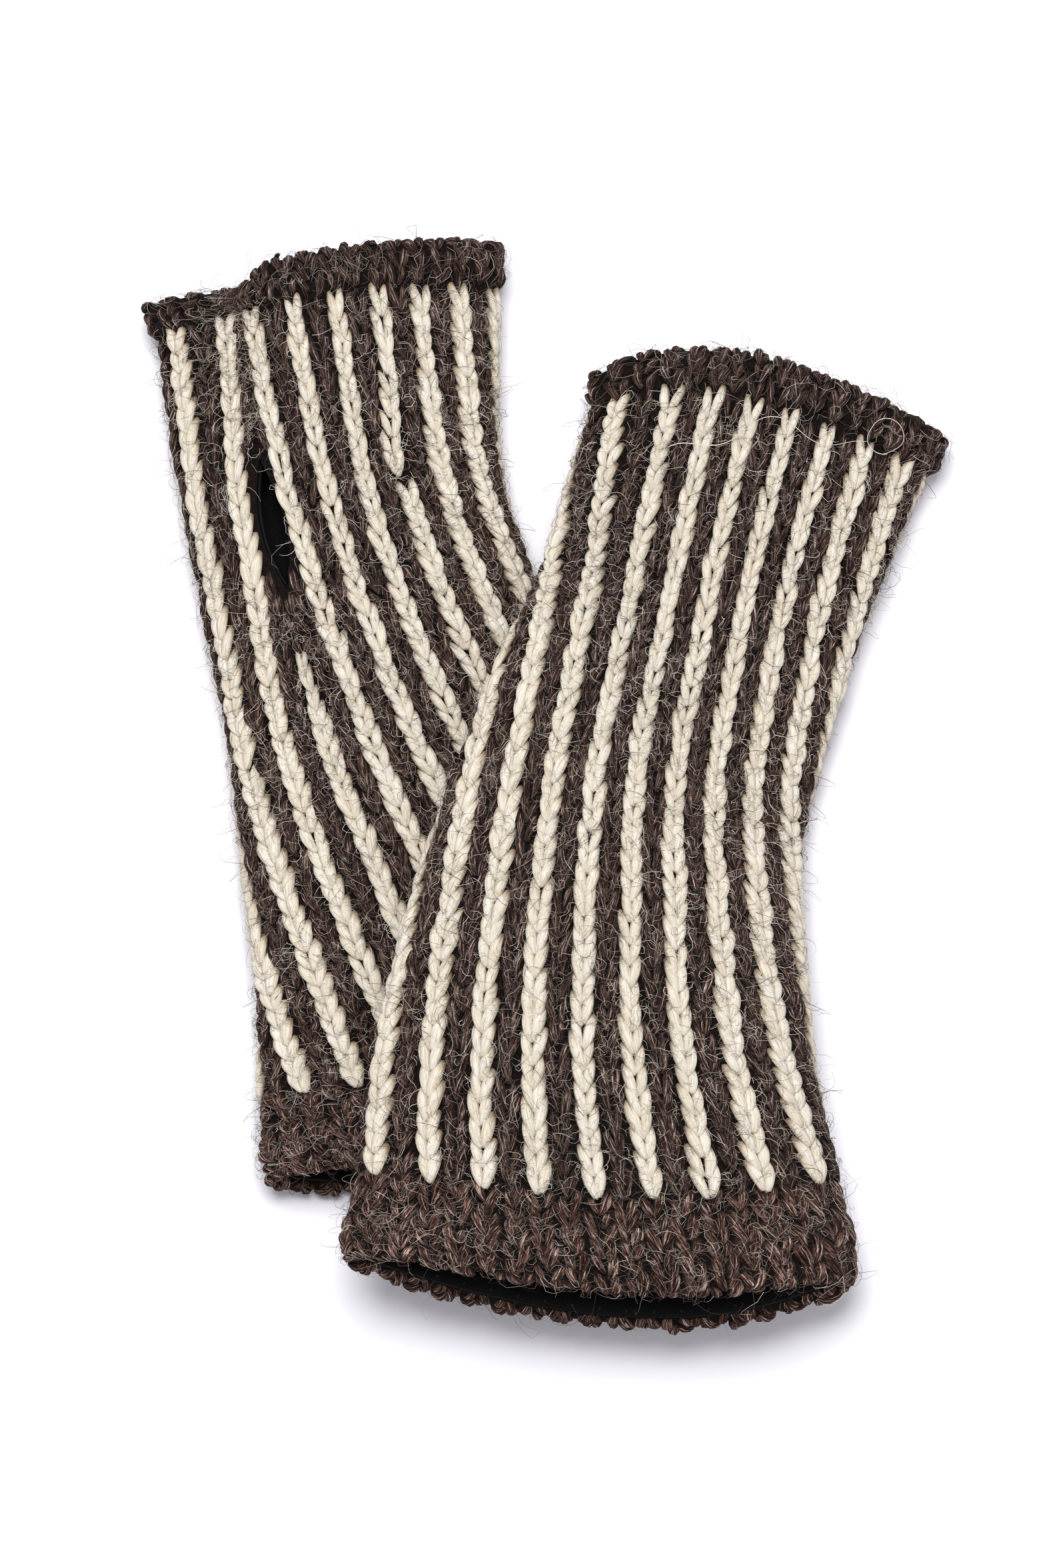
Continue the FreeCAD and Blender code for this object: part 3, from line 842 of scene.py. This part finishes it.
def node(tree, kind, **values):
    """A shader node with the given inputs and properties; an input may be another node's output."""
    made = tree.nodes.new(kind)
    for name, value in values.items():
        key = name.replace("_", " ").title()
        if key in made.inputs:
            if isinstance(value, bpy.types.NodeSocket):
                tree.links.new(value, made.inputs[key])
            else:
                made.inputs[key].default_value = value
        else:
            setattr(made, name, value)
    return made


def linear(colour):
    """Screen red, green and blue, from 0 to 255, as linear light."""
    return [(c / 255 / 12.92) if c < 11 else ((c / 255 + 0.055) / 1.055) ** 2.4 for c in colour]


def ramp(tree, factor, stops):
    """A colour by the factor, from (position, screen colour) stops."""
    made = tree.nodes.new("ShaderNodeValToRGB")
    while len(made.color_ramp.elements) < len(stops):
        made.color_ramp.elements.new(0.5)
    for element, (position, colour) in zip(made.color_ramp.elements, stops):
        element.position = position
        element.color = (*linear(colour), 1.0)
    tree.links.new(factor, made.inputs[0])
    return made.outputs[0]


def mixed(tree, factor, first, second, blend="MIX"):
    """A mix of two colours. Its sockets for colours are numbers 6 and 7."""
    made = tree.nodes.new("ShaderNodeMix")
    made.data_type = "RGBA"
    made.blend_type = blend
    for socket, value in ((made.inputs[0], factor), (made.inputs[6], first), (made.inputs[7], second)):
        if isinstance(value, bpy.types.NodeSocket):
            tree.links.new(value, socket)
        else:
            socket.default_value = value
    return made.outputs[2]


def point_value(tree, attribute):
    return node(tree, "ShaderNodeAttribute", attribute_name=attribute).outputs["Fac"]


def fabric(name, sheen, roughness=0.9):
    """A dull material: its name, node tree and shader."""
    made = bpy.data.materials.new(name)
    made.use_nodes = True
    tree = made.node_tree
    shader = tree.nodes["Principled BSDF"]
    shader.inputs["Roughness"].default_value = roughness
    shader.inputs["Specular IOR Level"].default_value = 0.06
    shader.inputs["Sheen Weight"].default_value = sheen
    shader.inputs["Sheen Roughness"].default_value = 0.6
    return made, tree, shader


def finish_fabric(tree, shader, colour, height, distance, strength):
    tree.links.new(colour, shader.inputs["Base Color"])
    bump = node(tree, "ShaderNodeBump", height=height, distance=distance, strength=strength)
    tree.links.new(bump.outputs[0], shader.inputs["Normal"])


def yarn_wool(name, shades, flecks, clouds, tints, painted_crease_shade, sheen):
    """Spun wool: fibres run along the yarn at a slant in several shades, with flecks (threshold, colour),
    broad clouds, a tint for each leg and painted shade that darkens the creases. The yarn's coordinates
    are in millimetres."""
    made, tree, shader = fabric(name, sheen)
    uv = node(tree, "ShaderNodeUVMap", uv_map="yarn").outputs[0]
    fine = node(tree, "ShaderNodeMapping", vector=uv, scale=(0.22, 2.2, 1.0), rotation=(0, 0, 0.3))
    streaks = node(tree, "ShaderNodeTexNoise", vector=fine.outputs[0], scale=1.0, detail=3.0, roughness=0.75)
    broad = node(tree, "ShaderNodeTexNoise", vector=uv, scale=0.35, detail=2.0)
    colour = ramp(tree, streaks.outputs[0], shades)
    cloud = ramp(tree, broad.outputs[0], [(0.35, clouds[0]), (0.65, clouds[1])])
    colour = mixed(tree, 0.5, colour, cloud, "MULTIPLY")
    stitch = ramp(tree, point_value(tree, "tint"), [(0.0, tints[0]), (1.0, tints[1])])
    colour = mixed(tree, 0.6, colour, stitch, "MULTIPLY")
    # Painted shade: the colour darkens towards the deep parts of each leg, where the creases between
    # stitches lie
    colour = mixed(tree, 1.0, colour, ramp(tree, point_value(tree, "shade_depth"), painted_crease_shade), "MULTIPLY")
    speck = node(tree, "ShaderNodeMapping", vector=uv, scale=(0.5, 2.0, 1.0), location=(7, 3, 0))
    spots = node(tree, "ShaderNodeTexNoise", vector=speck.outputs[0], scale=0.9, detail=1.0).outputs[0]
    chosen = ramp(tree, spots, [(flecks[0], (0, 0, 0)), (flecks[0] + 0.03, (255, 255, 255))])
    colour = mixed(tree, chosen, colour, (*linear(flecks[1]), 1.0))
    finish_fabric(tree, shader, colour, streaks.outputs[0], distance=0.0005, strength=0.8)
    return made


def solid_wool(name, shades, scale, sheen, bump):
    """Wool without a yarn direction: the knitting's inside, painted dark as the shade between the stitches,
    the fleece and the thread.
    """
    made, tree, shader = fabric(name, sheen, roughness=0.95)
    place_in = node(tree, "ShaderNodeTexCoord").outputs["Object"]
    noise = node(tree, "ShaderNodeTexNoise", vector=place_in, scale=scale, detail=6.0, roughness=0.7)
    colour = ramp(tree, noise.outputs[0], shades)
    finish_fabric(tree, shader, colour, noise.outputs[0], distance=bump, strength=0.7)
    return made


def fibre_wool(name, shades):
    made, tree, shader = fabric(name, sheen=0.1, roughness=0.8)
    tree.links.new(ramp(tree, point_value(tree, "tint"), shades), shader.inputs["Base Color"])
    return made


def paint(piece, material):
    piece.data.materials.clear()
    piece.data.materials.append(material)


CREAM = yarn_wool(
    "cream_wool_yarn",
    shades=[
        (0.25, (160, 147, 130)),
        (0.40, (209, 201, 187)),
        (0.58, (227, 221, 209)),
        (0.78, (244, 240, 232)),
    ],
    flecks=(0.80, (130, 114, 98)),
    clouds=((240, 234, 223), (255, 255, 255)),
    tints=((243, 237, 227), (255, 255, 255)),
    # Painted shade in the creases, darkest deep between the stitches
    painted_crease_shade=[(0.0, (150, 132, 116)), (0.4, (236, 229, 220)), (0.8, (255, 255, 255))],
    sheen=0.06,
)
BROWN = yarn_wool(
    "brown_wool_yarn",
    shades=[
        (0.38, (10, 6, 5)),
        (0.47, (48, 32, 28)),
        (0.54, (84, 63, 56)),
        (0.61, (154, 136, 128)),
        (0.69, (230, 218, 208)),
    ],
    flecks=(0.74, (112, 66, 40)),
    clouds=((180, 166, 160), (255, 255, 255)),
    tints=((170, 156, 150), (255, 252, 250)),
    # Painted shade in the creases, darkest deep between the stitches
    painted_crease_shade=[(0.0, (30, 21, 19)), (0.5, (144, 132, 128)), (0.95, (255, 255, 255))],
    sheen=0.03,
)
WRIST_BROWN = yarn_wool(
    "wrist_band_yarn",
    shades=[
        (0.38, (12, 5, 4)),
        (0.46, (50, 30, 25)),
        (0.53, (90, 64, 56)),
        (0.60, (170, 146, 135)),
        (0.68, (240, 226, 214)),
    ],
    flecks=(0.74, (122, 74, 46)),
    clouds=((190, 176, 170), (255, 255, 255)),
    tints=((180, 166, 160), (255, 252, 250)),
    # Painted shade in the creases, darkest deep between the stitches
    painted_crease_shade=[(0.0, (30, 20, 18)), (0.5, (152, 138, 133)), (0.92, (255, 255, 255))],
    sheen=0.03,
)
# The knitting's body: brown wool whose colour is painted near black, as the shade that falls between the
# stitches
SHADE_DARKENED_CORE = solid_wool(
    "brown_wool_core_painted_shade", [(0.35, (8, 6, 5)), (0.65, (28, 21, 19))], scale=900.0, sheen=0.02, bump=0.0006
)
FLEECE = solid_wool(
    "black_fleece_pile", [(0.3, (3, 3, 4)), (0.7, (13, 13, 15))], scale=1400.0, sheen=0.04, bump=0.0005
)
THREAD = solid_wool(
    "dark_sewing_thread", [(0.3, (18, 15, 15)), (0.7, (42, 36, 35))], scale=3000.0, sheen=0.05, bump=0.0002
)
LIGHT_FIBRE = fibre_wool(
    "light_loose_fibre",
    [(0.0, (78, 64, 56)), (0.4, (124, 108, 98)), (0.75, (176, 162, 150)), (1.0, (226, 216, 204))],
)
DARK_FIBRE = fibre_wool("dark_loose_fibre", [(0.0, (22, 18, 17)), (0.6, (48, 38, 34)), (1.0, (82, 62, 50))])
CREAM_FIBRE = fibre_wool("cream_loose_fibre", [(0.0, (196, 182, 160)), (1.0, (248, 243, 232))])


# ---------------------------------------------------------------- the gloves

# Each piece of fibres: name, how many are tried, whether on the cream, ranges of length and height, radius,
# slot and material
FIBRES = [
    ("light_fibres_1", 5000, False, (3.0, 10.0), (0.6, 2.4), 0.055, "brown_wool", LIGHT_FIBRE),
    ("light_fibres_2", 5000, False, (3.0, 10.0), (0.6, 2.4), 0.055, "brown_wool", LIGHT_FIBRE),
    ("dark_fibres_1", 5600, False, (3.0, 10.0), (0.6, 2.2), 0.06, "brown_wool", DARK_FIBRE),
    ("cream_fibres_1", 4200, True, (2.5, 7.0), (0.2, 1.2), 0.05, "cream_wool", CREAM_FIBRE),
    ("stray_dark_fibres_1", 380, True, (4.0, 10.0), (0.3, 1.4), 0.04, "brown_wool", DARK_FIBRE),
]


def make_glove(glove):
    """One glove: returns its core and its lining, the two sheets."""
    name = glove["name"]
    core = knit_core(glove)
    paint(core, SHADE_DARKENED_CORE)
    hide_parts(f"{name}_knit_body")
    lining = fleece(glove)
    paint(lining, FLEECE)
    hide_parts(f"{name}_fleece_lining")
    paint(brown_ground(glove), BROWN)
    paint(band_stitches(glove, "finger", FINGER_BAND_ROWS), BROWN)
    paint(band_stitches(glove, "wrist", WRIST_BAND_ROWS), WRIST_BROWN)
    for index in range(STRIPES):
        paint(cream_stripe(glove, index), CREAM)
    for *facts, material in FIBRES:
        paint(fibres(glove, *facts), material)
    paint(bpy.data.objects[f"{name}_lining_seam"], FLEECE)
    for end in ("finger", "wrist", "thumb"):
        paint(bpy.data.objects[f"{name}_{end}_hem_thread"], THREAD)
    return core, lining


left_core, left_lining = make_glove(LEFT)
right_core, right_lining = make_glove(RIGHT)
paint(stray_hair(RIGHT), LIGHT_FIBRE)


# ---------------------------------------------------------------- floor, light and camera

VIEW_CENTRE = Vector((-5.9, 2.9, 0.0)) * MM
VIEW_HEIGHT = 400.0 * MM
CAMERA_ELEVATION = math.radians(82)
CAMERA_DISTANCE = 2.6
CAMERA_SEES_TO = 20.0
SENSOR_HEIGHT = 24.0
FLOOR_HALF_SIZE = 3.0
SKY_COLOUR = (0.95, 0.96, 1.0, 1.0)
SKY_STRENGTH = 0.46


def pale_paper():
    made = bpy.data.materials.new("white_paper")
    made.use_nodes = True
    tree = made.node_tree
    shader = tree.nodes["Principled BSDF"]
    place_in = node(tree, "ShaderNodeTexCoord").outputs["Object"]
    noise = node(tree, "ShaderNodeTexNoise", vector=place_in, scale=6.0).outputs[0]
    colour = ramp(tree, noise, [(0.3, (237, 235, 241)), (0.7, (241, 239, 244))])
    tree.links.new(colour, shader.inputs["Base Color"])
    shader.inputs["Roughness"].default_value = 0.85
    return made


def pale_floor():
    data = bpy.data.meshes.new("floor")
    size = FLOOR_HALF_SIZE
    corners = [(-size, -size, 0), (size, -size, 0), (size, size, 0), (-size, size, 0)]
    data.from_pydata(corners, [], [(0, 1, 2, 3)])
    floor = bpy.data.objects.new("floor", data)
    bpy.context.scene.collection.objects.link(floor)
    paint(floor, pale_paper())
    return floor


def area_light(name, place_at, size, power):
    """A round light that shines at the origin."""
    data = bpy.data.lights.new(name, "AREA")
    data.shape = "DISK"
    data.size = size
    data.energy = power
    light = bpy.data.objects.new(name, data)
    light.location = place_at
    light.rotation_euler = (-Vector(place_at)).to_track_quat("-Z", "Y").to_euler()
    bpy.context.scene.collection.objects.link(light)


def sky():
    world = bpy.data.worlds.new("studio")
    world.use_nodes = True
    background = world.node_tree.nodes["Background"]
    background.inputs["Color"].default_value = SKY_COLOUR
    background.inputs["Strength"].default_value = SKY_STRENGTH
    bpy.context.scene.world = world


def aim_camera():
    data = bpy.data.cameras.new("camera")
    camera = bpy.data.objects.new("camera", data)
    away = Vector((0, -math.cos(CAMERA_ELEVATION), math.sin(CAMERA_ELEVATION)))
    camera.location = VIEW_CENTRE + away * CAMERA_DISTANCE
    camera.rotation_euler = away.to_track_quat("Z", "Y").to_euler()
    data.sensor_fit = "VERTICAL"
    data.sensor_height = SENSOR_HEIGHT
    data.lens = data.sensor_height * CAMERA_DISTANCE / VIEW_HEIGHT
    data.clip_end = CAMERA_SEES_TO
    bpy.context.scene.collection.objects.link(camera)
    bpy.context.scene.camera = camera


pale_floor()
area_light("key", place_at=(-0.15, 0.55, 1.8), size=1.2, power=40.0)
area_light("fill", place_at=(0.9, -0.9, 1.6), size=1.6, power=6.0)
sky()
aim_camera()
bpy.context.scene.view_settings.view_transform = "Standard"


# ---------------------------------------------------------------- the sheets' flat cut sizes


CUT_STATIONS = 200


def cut_size(start, end, out):
    """Width, length and area of a tube's flat cut, in metres, for a wall at out."""
    t = np.linspace(start, end, CUT_STATIONS)
    round_lengths = girth(t) + 2 * math.pi * out
    length = end - start
    return (round_lengths.max() * MM, length * MM), round_lengths.mean() * length * MM * MM


knit_cut, knit_area = cut_size(0, LENGTH, -WOOL / 2)
lining_cut, lining_area = cut_size(LINING_START, LINING_END, -WOOL - LINING / 2)
